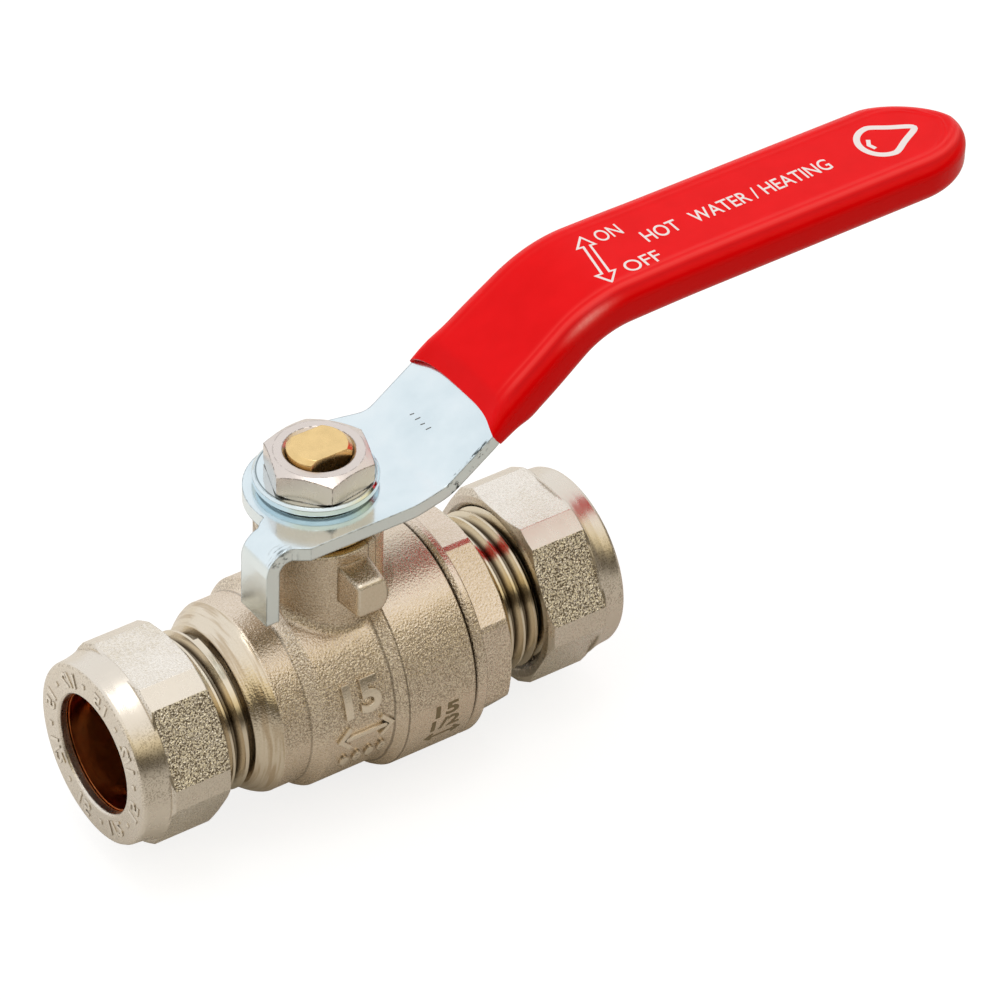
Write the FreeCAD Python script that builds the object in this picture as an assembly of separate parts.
import FreeCAD, Part
import math
import os

# Lever ball valve with compression ends for 15 mm copper pipe, one STEP file per piece.
# Drawn about the centre of the ball in mm: X along the pipe (inlet at -X, outlet at +X),
# Z up the stem, lever reaching towards +X. Each piece is moved along X on export so that
# the origin is the inlet pipe stop.

V = FreeCAD.Vector
ORIGIN = V(0, 0, 0)
X_AXIS = V(1, 0, 0)
Y_AXIS = V(0, 1, 0)
Z_AXIS = V(0, 0, 1)

# ---------------------------------------------------------------- shared dimensions
FIT_GAP = 0.05            # radial gap between mating pieces
FACE_GAP = 0.03           # axial gap between stacked rings

# compression ends
SOCKET_R = 7.6            # pipe socket in body and connector
WATERWAY_R = 6.6
THREAD_R = 10.48          # G1/2 major radius
THREAD_ROOT_R = 9.36
THREAD_PITCH = 1.814      # G1/2, 14 threads per inch
TAIL_TIP_R = 9.55         # chamfered end of a threaded tail
TAIL_CHAMFER = 0.93
RELIEF_R = 9.2            # plain neck at the inner end of a thread
INLET_FACE = -32.25       # outer faces of the two nuts
OUTLET_FACE = 38.20
TAIL_SETBACK = 7.25       # nut face to the end of the threaded tail
INLET_TAIL = INLET_FACE + TAIL_SETBACK
OUTLET_TAIL = OUTLET_FACE - TAIL_SETBACK
INLET_STOP = -12.5
OUTLET_STOP = 18.0
THREAD_OVERRUN = 1.4      # thread tool beyond the end of the tail

# joint between body and connector, and the seat pockets
BAND_R = 15.15
SEAM_X = 13.5             # end of the body, start of the connector
SPIGOT_R = 12.5
SPIGOT_X = 8.0
SEAT_BACK = 10.2
SEAT_POCKET_R = 9.85

# ball, stem and packing
BALL_R = 10.8
STEM_R = 4.0
STEM_HOLE_R = STEM_R + FIT_GAP
STEM_COLLAR_R = 5.0
STEM_COLLAR_TOP = 13.0
STEM_SHOULDER = 14.0
STEM_FLATS = 2.75         # half distance over the two flats
TANG_L, TANG_W = 7.0, 3.0  # along X and along Y
TANG_BOTTOM, TANG_TOP = 8.9, 11.3
PACKING_FLOOR = 17.2
PACKING_R = 6.0
PACKING_OUTER_R = PACKING_R - 0.04
BOSS_TOP = 22.6


# ---------------------------------------------------------------- shape helpers
def revolve(points, axis):
    """Solid of revolution from (along, radius) points about X_AXIS or Z_AXIS."""
    if axis is X_AXIS:
        corners = [V(along, 0, radius) for along, radius in points]
    else:
        corners = [V(radius, 0, along) for along, radius in points]
    solid = Part.Face(Part.makePolygon(corners + corners[:1])).revolve(ORIGIN, axis, 360)
    if solid.Volume < 0:
        solid.reverse()
    return solid


def tube(start, end, inner, outer, axis):
    return revolve([(start, inner), (end, inner), (end, outer), (start, outer)], axis)


def rod(start, end, radius, axis):
    return Part.makeCylinder(radius, end - start, axis * start, axis)


def prism(start, end, points, axis):
    """Prism along X from (y, z) points, or along Z from (x, y) points."""
    if axis is X_AXIS:
        corners = [V(start, y, z) for y, z in points]
    else:
        corners = [V(x, y, start) for x, y in points]
    return Part.Face(Part.makePolygon(corners + corners[:1])).extrude(axis * (end - start))


def on_circle(radius, angles):
    return [(radius * math.cos(math.radians(angle)), radius * math.sin(math.radians(angle)))
            for angle in angles]


def inward_from(face, inward, points):
    """Turn (depth, radius) points into (x, radius); inward is +1 or -1 along X."""
    return [(face + inward * depth, radius) for depth, radius in points]


def fillet(shape, edges, radius):
    # The kernel may refuse the edges; the shape then stays as it is.
    try:
        rounded = shape.makeFillet(radius, edges)
        if rounded.isValid() and rounded.Volume > 0:
            return rounded
    except Exception:
        pass
    return shape


def only_solid(shape):
    """Unwrap a boolean result that holds a single solid."""
    return shape.Solids[0] if len(shape.Solids) == 1 else shape


def cut_thread(solid, start, end, start_angle):
    """Cut a right-hand V thread about X; start_angle turns its start about the pipe."""
    groove_top_r, top_half_width, root_half_width = THREAD_R + 0.14, 0.83, 0.14
    helix = Part.makeHelix(THREAD_PITCH, end - start, THREAD_R)
    profile = Part.makePolygon([
        V(groove_top_r, 0, -top_half_width), V(THREAD_ROOT_R, 0, -root_half_width),
        V(THREAD_ROOT_R, 0, root_half_width), V(groove_top_r, 0, top_half_width),
        V(groove_top_r, 0, -top_half_width)])
    groove = Part.Wire(helix.Edges).makePipeShell([profile], True, True)
    groove.rotate(ORIGIN, Y_AXIS, 90)
    groove.translate(V(start, 0, 0))
    groove.rotate(ORIGIN, X_AXIS, start_angle)
    cut = solid.cut(groove)
    # A helical cut can fail; the tail then stays plain.
    if cut.isValid() and len(cut.Solids) == 1 and 0 < cut.Volume < solid.Volume:
        return cut.Solids[0]
    return solid


def socket_mouth(tail_end, inward):
    """Cone that opens the pipe socket to seat the olive."""
    return revolve(inward_from(tail_end, inward, [
        (-0.1, 0), (-0.1, SOCKET_R + 1.4), (1.3, SOCKET_R), (1.3, 0)]), X_AXIS)


# ---------------------------------------------------------------- valve body
BODY_NECK_R = 12.38
BARREL_R = 13.65
CAVITY_R = 11.4
CAVITY_START = -6.75
BOSS_R = 7.9
BOSS_FOOT_R = 1.4         # cast radius where the boss meets the barrel
LUG_ROOT_Y = 6.0
LUG_END_Y = 11.75
LUG_ROOT_HALF, LUG_END_HALF = 2.4, 1.9  # half widths along X
LUG_BOTTOM, LUG_TOP = 15.6, 21.3
LUG_DROP = 0.95           # the top of the lug falls towards its end
LUG_MID_X = 0.2
# rounded end of a lug: distance back from the end, inset of the outline
LUG_END_STEPS = [(0.5, 0), (0.25, 0.07), (0.07, 0.23), (0, 0.48)]

# x, radius
BODY_PROFILE = [
    (INLET_TAIL, 0), (INLET_TAIL, TAIL_TIP_R), (INLET_TAIL + TAIL_CHAMFER, THREAD_R),
    (-16.55, THREAD_R), (-16.35, RELIEF_R), (-15.75, RELIEF_R),
    (-15.6, 10.45), (-15.4, 10.6), (-15.1, 10.78), (-14.6, 11.15), (-14.1, 11.55),
    (-13.6, 11.9), (-13.15, 12.15), (-12.75, 12.32), (-12.45, 12.4),
    (-12.2, BODY_NECK_R), (-8.95, BODY_NECK_R), (-8.6, 12.55), (-7.55, 13.45),
    (-7.2, BARREL_R), (1.5, BARREL_R), (1.9, 13.78), (3.3, 14.9), (3.75, BAND_R),
    (SEAM_X - 0.3, BAND_R), (SEAM_X, BAND_R - 0.3), (SEAM_X, 0)]


def round_corners(points, radii):
    """Replace each corner of a closed outline by four points on a quadratic curve."""
    rounded = []
    for i, (corner, radius) in enumerate(zip(points, radii)):
        ends = []
        for near in (points[i - 1], points[(i + 1) % len(points)]):
            step = (near[0] - corner[0], near[1] - corner[1])
            length = math.hypot(*step)
            reach = min(radius, length / 3)
            ends.append([corner[k] + step[k] / length * reach for k in (0, 1)])
        for t in (0.0, 0.33, 0.67, 1.0):
            rounded.append(tuple(
                (1 - t) ** 2 * ends[0][k] + 2 * t * (1 - t) * corner[k] + t * t * ends[1][k]
                for k in (0, 1)))
    return rounded


def lug_section(y, half, inset):
    """Outline of a stop lug across Y, drawn in by inset; its +X side is bulged."""
    top = LUG_TOP - LUG_DROP * (abs(y) - LUG_ROOT_Y) / (LUG_END_Y - LUG_ROOT_Y)
    # x, z, corner radius
    corners = [
        (-half, LUG_BOTTOM, 0.5), (half - 0.3, LUG_BOTTOM - 0.05, 0.5),
        (half + 0.4, LUG_BOTTOM + 0.9, 0.12), (half + 0.8, LUG_BOTTOM + 2.3, 0.12),
        (half + 0.15, top - 0.5, 0.12), (half - 0.35, top, 0.5), (-half, top, 0.5)]
    outline = round_corners([(x, z) for x, z, _ in corners], [r for _, _, r in corners])
    mid_z = (LUG_BOTTOM + top) / 2
    scale_x = 1 - inset / (half + 0.3)
    scale_z = 1 - inset / ((top - LUG_BOTTOM) / 2)
    points = [V(LUG_MID_X + (x - LUG_MID_X) * scale_x, y, mid_z + (z - mid_z) * scale_z)
              for x, z in outline]
    return Part.makePolygon(points + points[:1])


def make_stop_lug(side):
    """Lug reaching out from the boss; side is -1 or +1 along Y."""
    tip_y = LUG_END_Y - LUG_END_STEPS[0][0]
    lug = Part.makeLoft([lug_section(side * LUG_ROOT_Y, LUG_ROOT_HALF, 0),
                         lug_section(side * tip_y, LUG_END_HALF, 0)], True, True)
    for steps in zip(LUG_END_STEPS, LUG_END_STEPS[1:]):
        sections = [lug_section(side * (LUG_END_Y - back), LUG_END_HALF, inset)
                    for back, inset in steps]
        lug = lug.fuse(Part.makeLoft(sections, True, True))
    return lug


def make_boss_foot():
    """Barrel and boss joined with the cast radius, trimmed to the area round the boss."""
    barrel = revolve([(-12, 0), (-12, BARREL_R), (12, BARREL_R), (12, 0)], X_AXIS)
    foot = barrel.fuse(rod(0, BOSS_TOP - 2, BOSS_R, Z_AXIS)).removeSplitter()
    joint = [edge for edge in foot.Edges
             if all(abs(math.hypot(point.x, point.y) - BOSS_R) < 0.02
                    for point in edge.discretize(7))
             and edge.BoundBox.ZMax < 16 and edge.BoundBox.ZMin > 8]
    foot = fillet(foot, joint, BOSS_FOOT_R)
    foot = foot.common(rod(5, 30, BOSS_R + 2.0, Z_AXIS))
    return foot.common(Part.makeBox(40, 40, 40, V(-7.5, -20, 0)))


def make_valve_body():
    body = revolve(BODY_PROFILE, X_AXIS)
    body = body.fuse(rod(0, BOSS_TOP, BOSS_R, Z_AXIS)).removeSplitter()
    body = only_solid(body.fuse(make_boss_foot()).removeSplitter())
    boss_rim = [edge for edge in body.Edges
                if abs(edge.BoundBox.ZMin - BOSS_TOP) < 0.01
                and abs(edge.BoundBox.ZMax - BOSS_TOP) < 0.01]
    body = fillet(body, boss_rim, 0.35)
    for side in (-1, 1):
        body = body.fuse(make_stop_lug(side))
    body = only_solid(body.removeSplitter())
    hollows = [
        rod(INLET_TAIL - 1, INLET_STOP, SOCKET_R, X_AXIS),
        rod(INLET_STOP - 1, 0, WATERWAY_R, X_AXIS),
        socket_mouth(INLET_TAIL, 1),
        rod(-SEAT_BACK, 0, SEAT_POCKET_R, X_AXIS),
        rod(CAVITY_START, SEAM_X, CAVITY_R, X_AXIS),
        rod(SPIGOT_X - FIT_GAP, SEAM_X + 1, SPIGOT_R + FIT_GAP, X_AXIS),
        rod(5, STEM_SHOULDER, STEM_COLLAR_R + 0.06, Z_AXIS),
        rod(5, 30, STEM_HOLE_R, Z_AXIS),
        rod(PACKING_FLOOR, 30, PACKING_R, Z_AXIS)]
    for hollow in hollows:
        body = body.cut(hollow)
    return cut_thread(only_solid(body), INLET_TAIL - THREAD_OVERRUN, -16.45, 0)


# ---------------------------------------------------------------- end connector
RING_END = 15.2
OCTAGON_END = 19.8
OCTAGON_HALF = 13.4       # half across flats
OCTAGON_ANGLE = 153.0     # one corner of the octagon
OCTAGON_TURNED_R = 14.35


def make_end_connector():
    octagon_start = RING_END - 0.5
    overlap_x = OCTAGON_END - 0.5
    connector = revolve([
        (SEAM_X + 0.08, 0), (SEAM_X + 0.08, 14.6), (SEAM_X + 0.75, BAND_R),
        (RING_END - 0.2, BAND_R), (RING_END, BAND_R - 0.2), (RING_END, 0)], X_AXIS)
    corner_r = OCTAGON_HALF / math.cos(math.radians(22.5))
    corners = on_circle(corner_r, [OCTAGON_ANGLE + 45 * k for k in range(8)])
    octagon = prism(octagon_start, OCTAGON_END, corners, X_AXIS)
    octagon = octagon.common(revolve([
        (RING_END - 0.6, 0), (RING_END - 0.6, OCTAGON_TURNED_R),
        (overlap_x, OCTAGON_TURNED_R), (OCTAGON_END, 13.5), (OCTAGON_END, 0)], X_AXIS))
    tail = revolve([
        (overlap_x, 0), (overlap_x, RELIEF_R), (OCTAGON_END + 0.75, RELIEF_R),
        (OCTAGON_END + 0.95, THREAD_R), (OUTLET_TAIL - TAIL_CHAMFER, THREAD_R),
        (OUTLET_TAIL, TAIL_TIP_R), (OUTLET_TAIL, 0)], X_AXIS)
    spigot = rod(SPIGOT_X, SEAM_X + 0.5, SPIGOT_R, X_AXIS)
    connector = connector.fuse(octagon).fuse(tail).fuse(spigot)
    seal_groove = tube(10.9, 12.7, 10.9, 13, X_AXIS)
    hollows = [
        rod(OUTLET_STOP, OUTLET_TAIL + 1, SOCKET_R, X_AXIS),
        rod(0, OUTLET_STOP + 1, WATERWAY_R, X_AXIS),
        rod(0, SEAT_BACK, SEAT_POCKET_R, X_AXIS),
        socket_mouth(OUTLET_TAIL, -1),
        seal_groove]
    for hollow in hollows:
        connector = connector.cut(hollow)
    connector = only_solid(connector.removeSplitter())
    return cut_thread(connector, OCTAGON_END + 0.35, OUTLET_TAIL + THREAD_OVERRUN, 77)


def make_connector_seal():
    return Part.makeTorus(11.72, 0.78, V(11.8, 0, 0), X_AXIS)


# ---------------------------------------------------------------- ball and seats
def make_ball():
    slot_width = TANG_W + 0.12
    ball = Part.makeSphere(BALL_R)
    ball = ball.cut(rod(-20, 20, WATERWAY_R, X_AXIS))
    slot = Part.makeBox(20, slot_width, 6, V(-10, -slot_width / 2, TANG_BOTTOM - 0.2))
    return only_solid(ball.cut(slot))


def make_seat(side):
    """Seat ring hollowed to the ball; side is -1 for the inlet, +1 for the outlet."""
    inner_r, outer_r = 6.8, SEAT_POCKET_R - FIT_GAP
    back, front = side * (SEAT_BACK - 0.05), side * 6.8
    ring = revolve([(back, inner_r), (back, outer_r), (front, outer_r), (front, inner_r)],
                   X_AXIS)
    return only_solid(ring.cut(Part.makeSphere(BALL_R + 0.04)))


# ---------------------------------------------------------------- stem and gland
STEM_TOP = 33.95
STEM_FLATS_Z = 25.85      # bottom of the flats
STEM_CHAMFER_Z = STEM_TOP - 0.6
RING_GROOVES_Z = (14.5, 15.85)
RING_GROOVE_W = 1.1
GLAND_BOTTOM, GLAND_TOP = 20.75, 25.5
GLAND_HEAD_R = 7.0


def make_stem():
    stem = rod(STEM_COLLAR_TOP - 0.2, STEM_TOP, STEM_R, Z_AXIS)
    stem = stem.fuse(rod(TANG_TOP, STEM_COLLAR_TOP, STEM_COLLAR_R, Z_AXIS))
    tang = Part.makeBox(TANG_L, TANG_W, TANG_TOP - TANG_BOTTOM + 0.3,
                        V(-TANG_L / 2, -TANG_W / 2, TANG_BOTTOM))
    stem = stem.fuse(tang).removeSplitter()
    for flat_y in (-STEM_FLATS - 10, STEM_FLATS):
        stem = stem.cut(Part.makeBox(20, 10, 20, V(-10, flat_y, STEM_FLATS_Z)))
    for z in RING_GROOVES_Z:
        stem = stem.cut(tube(z, z + RING_GROOVE_W, 2.98, 6, Z_AXIS))
    chamfered_envelope = revolve([
        (0, 0), (0, 8), (STEM_CHAMFER_Z, 8), (STEM_CHAMFER_Z, STEM_R + 0.05),
        (STEM_TOP, STEM_R - 0.55), (STEM_TOP, 0)], Z_AXIS)
    return only_solid(only_solid(stem).common(chamfered_envelope))


def make_thrust_washer():
    return tube(STEM_COLLAR_TOP + FACE_GAP, STEM_SHOULDER - FACE_GAP,
                STEM_HOLE_R, STEM_COLLAR_R, Z_AXIS)


def make_o_ring(groove_z):
    return Part.makeTorus(3.5, 0.5, V(0, 0, groove_z + RING_GROOVE_W / 2), Z_AXIS)


def make_packing_ring(bottom, top):
    return tube(bottom, top, STEM_HOLE_R, PACKING_OUTER_R, Z_AXIS)


def make_gland_nut():
    gland = revolve([
        (GLAND_BOTTOM, STEM_HOLE_R), (GLAND_BOTTOM, 5.6),
        (GLAND_BOTTOM + 0.35, PACKING_OUTER_R), (BOSS_TOP + 0.05, PACKING_OUTER_R),
        (BOSS_TOP + 0.05, GLAND_HEAD_R - 0.3), (BOSS_TOP + 0.35, GLAND_HEAD_R),
        (GLAND_TOP - 0.4, GLAND_HEAD_R), (GLAND_TOP, GLAND_HEAD_R - 0.4),
        (GLAND_TOP, STEM_HOLE_R)], Z_AXIS)
    for k in range(4):
        notch = Part.makeBox(4, 1.6, 2.2, V(5.3, -0.8, 24.2))
        notch.rotate(ORIGIN, Z_AXIS, 45 + 90 * k)
        gland = gland.cut(notch)
    return only_solid(gland)


# ---------------------------------------------------------------- lever
LEVER_T = 1.8
LEVER_TOP = 27.7
LEVER_MID_Z = LEVER_TOP - LEVER_T / 2   # centre plane of the flat part
LEVER_DISC_R = 9.2
LEVER_HALF_W = 9.8
LEVER_NECK_HALF_W = 8.7
LEVER_CORE_HALF_W = 7.4
LEVER_TIP_X = 92.4
LEVER_TIP_R = 6.9         # corner radius of the tip in plan
BEND_X = 12.88            # where the flat and sloping centre planes cross
BEND_R = 4.0
ELBOW_X, ELBOW_Z = 35.3, 43.03  # where the sloping and grip centre planes cross
ELBOW_R = 15.0
SLOPE_ROUNDED = 35.9      # degrees, sets how far the bends reach from the crossings
GRIP_SLOPE = 0.55         # degrees
TAB_X = -12.05            # centre plane of the stop tab
TAB_BOTTOM = 17.3
TAB_R = 2.3
TAB_Y = (-8.6, -3.0)
STRIP_HALF_W = 14         # wider than any plan outline
PLAN_H = 80               # taller than the lever

SLEEVE_T = 5.56
SLEEVE_TIP_X = 95.3
SLEEVE_TIP_START = SLEEVE_TIP_X - 9.84  # the tip is half an ellipse in plan
SLEEVE_GRIP_HALF_W = 8.03
SLEEVE_SLOPE_START = 4.0  # start of the uncut sleeve, along the slope from the bend
# x, half width
SLEEVE_STATIONS = [(12.0, 8.95), (34.0, 8.3), (47.0, SLEEVE_GRIP_HALF_W),
                   (SLEEVE_TIP_START, SLEEVE_GRIP_HALF_W)]
MOUTH_X, MOUTH_Z = 21.43, 32.99  # reference point of the sleeve mouth
MOUTH_SETBACK = 0.65      # mouth arc down the slope from the reference point
MOUTH_R = 30.0

slope = math.atan2(ELBOW_Z - LEVER_MID_Z, ELBOW_X - BEND_X)
slope_deg = math.degrees(slope)
slope_length = math.hypot(ELBOW_X - BEND_X, ELBOW_Z - LEVER_MID_Z)
bend_reach = BEND_R * math.tan(math.radians(SLOPE_ROUNDED / 2))
elbow_reach = ELBOW_R * math.tan(math.radians((SLOPE_ROUNDED - GRIP_SLOPE) / 2))
grip_length = (SLEEVE_TIP_X - ELBOW_X) / math.cos(math.radians(GRIP_SLOPE)) - elbow_reach
elbow_turn = ("arc", ELBOW_R, GRIP_SLOPE - slope_deg)

# centre line from the foot of the tab: ("line", length) or ("arc", radius, turn in degrees)
LEVER_PATH = [
    ("line", LEVER_MID_Z - TAB_R - TAB_BOTTOM), ("arc", TAB_R, -90),
    ("line", BEND_X - bend_reach - (TAB_X + TAB_R)), ("arc", BEND_R, slope_deg),
    ("line", slope_length - bend_reach - elbow_reach), elbow_turn, ("line", grip_length)]
SLEEVE_PATH = [
    ("line", slope_length - elbow_reach - SLEEVE_SLOPE_START), elbow_turn,
    ("line", grip_length + 1)]


def bent_strip(thickness, path, start, heading_deg):
    """Strip that follows a centre line in XZ, extruded over Y."""
    def offset(point, angle, distance):
        return V(point[0] - math.sin(angle) * distance, 0,
                 point[1] + math.cos(angle) * distance)

    def end_line(point, angle):
        return Part.makeLine(offset(point, angle, thickness / 2),
                             offset(point, angle, -thickness / 2))

    point, angle = start, math.radians(heading_deg)
    upper, lower = [], []
    sides = ((upper, thickness / 2), (lower, -thickness / 2))
    first = end_line(point, angle)
    for kind, size, *turn_deg in path:
        if kind == "line":
            end = (point[0] + math.cos(angle) * size, point[1] + math.sin(angle) * size)
            for edges, distance in sides:
                edges.append(Part.makeLine(offset(point, angle, distance),
                                           offset(end, angle, distance)))
            point = end
        else:
            turn = math.radians(turn_deg[0])
            radius = size if turn > 0 else -size
            centre = (point[0] - math.sin(angle) * radius, point[1] + math.cos(angle) * radius)
            stations = []
            for fraction in (0, 0.5, 1):
                a = angle + turn * fraction
                stations.append(((centre[0] + math.sin(a) * radius,
                                  centre[1] - math.cos(a) * radius), a))
            for edges, distance in sides:
                arc = Part.Arc(*[offset(place, a, distance) for place, a in stations])
                edges.append(arc.toShape())
            point, angle = stations[2][0], angle + turn
    outline = upper + [end_line(point, angle)] + lower + [first]
    face = Part.Face(Part.Wire(Part.__sortEdges__(outline)))
    face.translate(V(0, -STRIP_HALF_W, 0))
    return face.extrude(V(0, 2 * STRIP_HALF_W, 0))


def ease(x, x0, x1, value0, value1):
    """Smooth step from value0 at x0 to value1 at x1."""
    t = max(0.0, min(1.0, (x - x0) / (x1 - x0)))
    t = t * t * (3 - 2 * t)
    return value0 + (value1 - value0) * t


def lever_half_width(x):
    if x > 30:
        return LEVER_CORE_HALF_W - 0.5 * (x - 30) / 60.0
    if x > 18.0:
        return ease(x, 19.6, 23.5, LEVER_NECK_HALF_W, LEVER_CORE_HALF_W)
    return ease(x, 6.5, 14.0, LEVER_HALF_W, LEVER_NECK_HALF_W)


def lever_plan(taper_start, taper_points, extra=0.0):
    """Prism over the lever's plan from x = 0 to the tip, grown by extra."""
    tip_start = LEVER_TIP_X - 7.0
    tapers = [taper_start + 0.5 * k for k in range(taper_points)]
    stations = [(0.0, LEVER_HALF_W)] + [(x, lever_half_width(x)) for x in tapers]
    stations += [(30, lever_half_width(30.1)), (tip_start, lever_half_width(tip_start))]
    points = [(x, -(half + extra)) for x, half in stations]
    radius = LEVER_TIP_R + extra
    centre_x = LEVER_TIP_X + extra - radius
    centre_y = -(stations[-1][1] + extra - radius)
    arc = on_circle(radius, [-90 + 90.0 * k / 14 for k in range(15)])
    points += [(centre_x + x, centre_y + y) for x, y in arc]
    points += [(x, -y) for x, y in reversed(points)]
    return prism(0, PLAN_H, points, Z_AXIS)


def make_lever_arm():
    near_corner = prism(0, PLAN_H, [
        (-7.5, -LEVER_HALF_W), (1, -LEVER_HALF_W), (1, 0), (-7.5, 0)], Z_AXIS)
    tab_neck = prism(0, PLAN_H, [
        (-7.5, -LEVER_HALF_W), (-9.4, TAB_Y[0]), (-20, TAB_Y[0]), (-20, TAB_Y[1]),
        (-10.6, TAB_Y[1]), (-9.9, -2.35), (-8.9, -1.7), (-5, -1.0)], Z_AXIS)
    outline = lever_plan(6.5, 35).fuse(Part.makeCylinder(LEVER_DISC_R, PLAN_H))
    outline = outline.fuse(near_corner).fuse(tab_neck)
    lever = bent_strip(LEVER_T, LEVER_PATH, (TAB_X, TAB_BOTTOM), 90)
    lever = lever.common(outline).removeSplitter()
    flats = Part.makeBox(20, 2 * STEM_FLATS + 0.1, 30, V(-10, -STEM_FLATS - 0.05, 15))
    lever = only_solid(lever.cut(rod(20, 40, STEM_HOLE_R, Z_AXIS).common(flats)))
    # foot of the stop tab: ease the edges along X, then round the long ones
    for radius, min_length in ((0.1, None), (1.2, 1)):
        foot_edges = [edge for edge in lever.Edges
                      if len(edge.Vertexes) == 2
                      and edge.BoundBox.ZMax < TAB_BOTTOM + 0.01
                      and edge.BoundBox.YLength < 0.01
                      and (min_length is None or edge.BoundBox.XLength > min_length)]
        lever = fillet(lever, foot_edges, radius)
    return only_solid(lever)


def sleeve_plan():
    curve = Part.BSplineCurve()
    curve.interpolate([V(x, -half, 0) for x, half in SLEEVE_STATIONS], False,
                      InitialTangent=V(1, 0.011, 0), FinalTangent=V(1, 0, 0))
    side = curve.toShape()
    ellipse = Part.Ellipse(V(SLEEVE_TIP_X, 0, 0), V(SLEEVE_TIP_START, SLEEVE_GRIP_HALF_W, 0),
                           V(SLEEVE_TIP_START, 0, 0))
    tip = Part.ArcOfEllipse(ellipse, -math.pi / 2, math.pi / 2).toShape()
    other_side = side.mirror(ORIGIN, Y_AXIS)
    back_x, back_half = SLEEVE_STATIONS[0]
    back = Part.makeLine(V(back_x, back_half, 0), V(back_x, -back_half, 0))
    wire = Part.Wire(Part.__sortEdges__([side, tip, other_side, back]))
    return Part.Face(wire).extrude(V(0, 0, PLAN_H))


def sleeve_mouth_tool():
    """Cutter that leaves a shallow hollow arc square to the slope."""
    mouth = Part.makeCylinder(MOUTH_R, 40, V(0, 0, -20))
    mouth.translate(V(-MOUTH_R - MOUTH_SETBACK, 0, 0))
    mouth = mouth.fuse(Part.makeBox(60, 60, 40, V(-60 - MOUTH_SETBACK - 3.5, -30, -20)))
    mouth.rotate(ORIGIN, Y_AXIS, -slope_deg)
    mouth.translate(V(MOUTH_X, 0, MOUTH_Z))
    return mouth


def make_lever_sleeve():
    """Dipped sleeve over the sloping part and the grip, hollowed for the lever."""
    start = (BEND_X + SLEEVE_SLOPE_START * math.cos(slope),
             LEVER_MID_Z + SLEEVE_SLOPE_START * math.sin(slope))
    sleeve = bent_strip(SLEEVE_T, SLEEVE_PATH, start, slope_deg).common(sleeve_plan())
    sleeve = only_solid(sleeve.cut(sleeve_mouth_tool()).removeSplitter())
    # long edges beyond the mouth, without upright edges and straight edges across the width
    long_edges = [edge for edge in sleeve.Edges
                  if edge.BoundBox.XMax > 23
                  and not (edge.BoundBox.ZLength > SLEEVE_T * 0.7
                           and edge.BoundBox.XLength < 1.2)
                  and not (edge.BoundBox.YLength > 12 and edge.BoundBox.XLength < 0.5)]
    # the largest radius the kernel accepts
    for radius in (2.3, 2.0, 1.6, 1.2):
        rounded = fillet(sleeve, long_edges, radius)
        if rounded is not sleeve:
            sleeve = rounded
            break
    core = bent_strip(LEVER_T + 0.08, LEVER_PATH, (TAB_X, TAB_BOTTOM), 90)
    return only_solid(sleeve.cut(core.common(lever_plan(10, 28, FIT_GAP))))


# ---------------------------------------------------------------- washer and stem nut
def make_lever_washer():
    bottom, top = 27.72, 29.42
    hole_r, outer_r = 4.9, 7.69
    washer = revolve([
        (bottom, hole_r), (bottom, outer_r - 0.75), (bottom + 0.7, outer_r),
        (top - 0.3, outer_r), (top, outer_r - 0.3), (top, hole_r)], Z_AXIS)
    washer.translate(V(0, 0.65, 0))  # off centre by the slack in its hole
    return washer


def make_lever_nut():
    bottom, top = 29.44, 33.0
    corner_r = 6.95
    envelope_r = corner_r + 0.05
    nut = prism(bottom, top, on_circle(corner_r, [-170.1 + 60 * k for k in range(6)]), Z_AXIS)
    nut = nut.common(revolve([
        (bottom, 0), (bottom, 6.2), (bottom + 0.45, envelope_r),
        (top - 0.75, envelope_r), (top, 5.55), (top, 0)], Z_AXIS))
    nut = nut.cut(rod(bottom - 1, top + 1, STEM_HOLE_R, Z_AXIS))
    return only_solid(nut.cut(revolve([
        (top - 0.4, 0), (top - 0.4, STEM_HOLE_R), (top + 0.1, STEM_R + 0.55),
        (top + 0.1, 0)], Z_AXIS)))


# ---------------------------------------------------------------- compression nuts and olives
NUT_LEN = 11.95
NUT_COLLAR = 3.85         # turned collar ahead of the flats
NUT_BORE_R = 7.75
NUT_THREAD_BORE_R = 10.55
NUT_CORNER_R = 13.00      # over the bevelled corners
NUT_HALF_FLAT = 23.19     # half angle of a main flat, degrees
NUT_CONE_START = 1.15     # depth where the bore opens over the olive
OLIVE_R = 8.75
OLIVE_BORE_R = 7.62


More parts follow.
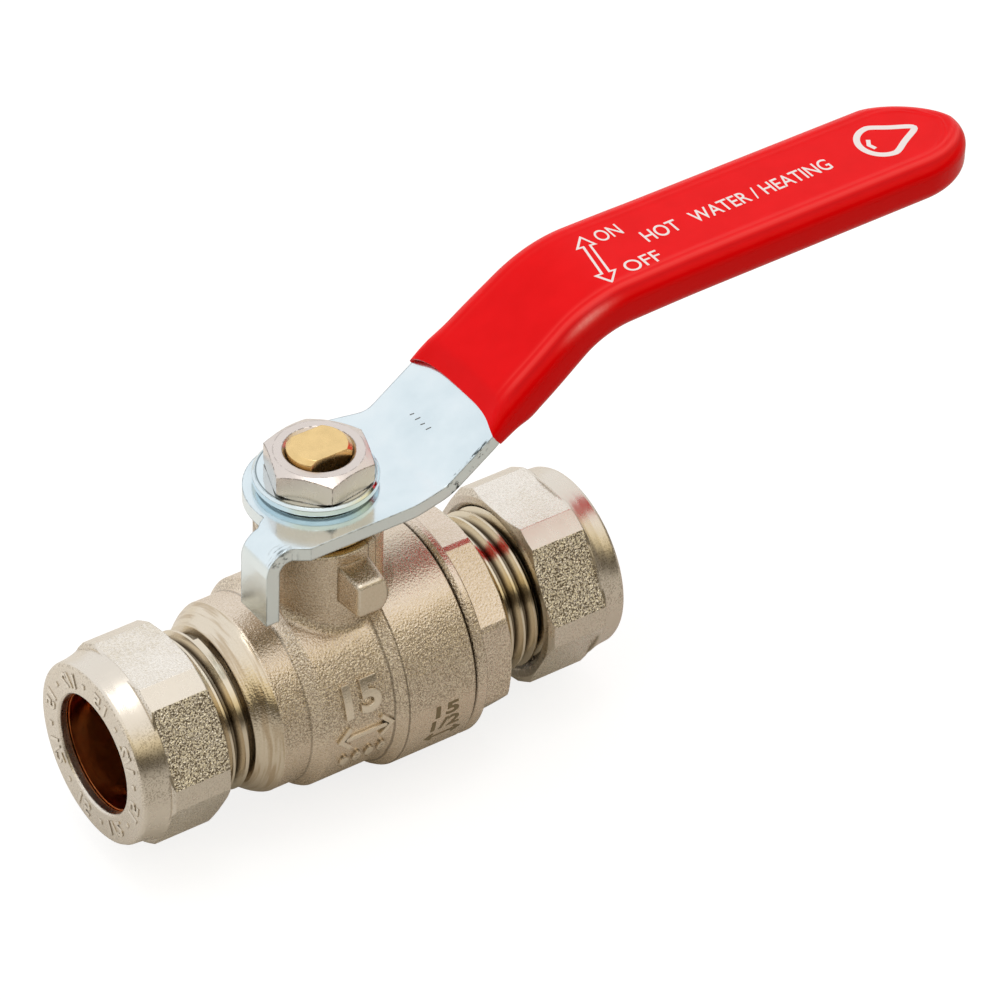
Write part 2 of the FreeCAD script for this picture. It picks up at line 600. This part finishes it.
def make_compression_nut(face, inward, flat_angle):
    """Nut from its outer face; flat_angle is the middle of one flat, in degrees."""
    def turned(points):
        return revolve(inward_from(face, inward, points), X_AXIS)

    angles = [flat_angle + 60 * k + half
              for k in range(6) for half in (-NUT_HALF_FLAT, NUT_HALF_FLAT)]
    start, end = sorted(face + inward * depth for depth in (NUT_COLLAR - 0.4, NUT_LEN))
    hexagon = prism(start, end, on_circle(NUT_CORNER_R, angles), X_AXIS)
    hexagon = hexagon.common(turned([
        (NUT_COLLAR - 0.5, 0), (NUT_COLLAR - 0.5, 12.45), (NUT_COLLAR, 13.05),
        (NUT_LEN - 0.5, 13.05), (NUT_LEN, 12.1), (NUT_LEN, 0)]))
    collar = turned([
        (0, 0), (0, 11.3), (0.15, 11.62), (0.5, 11.8), (1.8, 11.9), (2.9, 12.1),
        (NUT_COLLAR - 0.12, 12.34), (NUT_COLLAR, 12.22), (NUT_COLLAR, 0)])
    nut = hexagon.fuse(collar)
    start, end = sorted(face + inward * depth for depth in (-1, 13))
    nut = nut.cut(rod(start, end, NUT_BORE_R, X_AXIS))
    # olive cone and thread bore, then the chamfers at the inner and outer ends
    for points in (
            [(NUT_CONE_START, 0), (NUT_CONE_START, NUT_BORE_R), (2.3, NUT_BORE_R + 1.15),
             (2.75, NUT_BORE_R + 1.3), (2.75, NUT_THREAD_BORE_R),
             (NUT_LEN + 1, NUT_THREAD_BORE_R), (NUT_LEN + 1, 0)],
            [(NUT_LEN - 0.6, 0), (NUT_LEN - 0.6, NUT_THREAD_BORE_R),
             (NUT_LEN + 0.1, NUT_THREAD_BORE_R + 0.7), (NUT_LEN + 0.1, 0)],
            [(-0.1, 0), (-0.1, NUT_BORE_R + 0.3), (0.25, NUT_BORE_R), (0.25, 0)]):
        nut = nut.cut(turned(points))
    return only_solid(nut.removeSplitter())


def make_olive(face, inward):
    """Olive placed by the outer face of its nut."""
    outer, inner = 1.40, TAIL_SETBACK + 0.90
    chamfer = 0.85
    outer_end_r = NUT_BORE_R + (outer - NUT_CONE_START) - 0.1  # 0.1 clear of the cone
    return revolve(inward_from(face, inward, [
        (outer, OLIVE_BORE_R), (outer, outer_end_r), (outer + chamfer, OLIVE_R),
        (inner - chamfer, OLIVE_R), (inner, OLIVE_R - chamfer), (inner, OLIVE_BORE_R)]), X_AXIS)


# ---------------------------------------------------------------- export
parts = {
    "valve_body": make_valve_body(),
    "end_connector": make_end_connector(),
    "connector_seal": make_connector_seal(),
    "ball": make_ball(),
    "seat_ring_inlet": make_seat(-1),
    "seat_ring_outlet": make_seat(1),
    "stem": make_stem(),
    "stem_thrust_washer": make_thrust_washer(),
    "stem_o_ring_lower": make_o_ring(RING_GROOVES_Z[0]),
    "stem_o_ring_upper": make_o_ring(RING_GROOVES_Z[1]),
    "packing_ring_lower": make_packing_ring(PACKING_FLOOR + FACE_GAP, 18.95),
    "packing_ring_upper": make_packing_ring(18.95 + FACE_GAP, 20.70),
    "gland_nut": make_gland_nut(),
    "lever_arm": make_lever_arm(),
    "lever_sleeve": make_lever_sleeve(),
    "lever_washer": make_lever_washer(),
    "lever_nut": make_lever_nut(),
    "compression_nut_inlet": make_compression_nut(INLET_FACE, 1, 149.2),
    "compression_nut_outlet": make_compression_nut(OUTLET_FACE, -1, 148.1),
    "olive_inlet": make_olive(INLET_FACE, 1),
    "olive_outlet": make_olive(OUTLET_FACE, -1),
}

os.makedirs("parts", exist_ok=True)
for name, shape in parts.items():
    shape.translate(V(-INLET_STOP, 0, 0))
    shape.exportStep("parts/%s.step" % name)
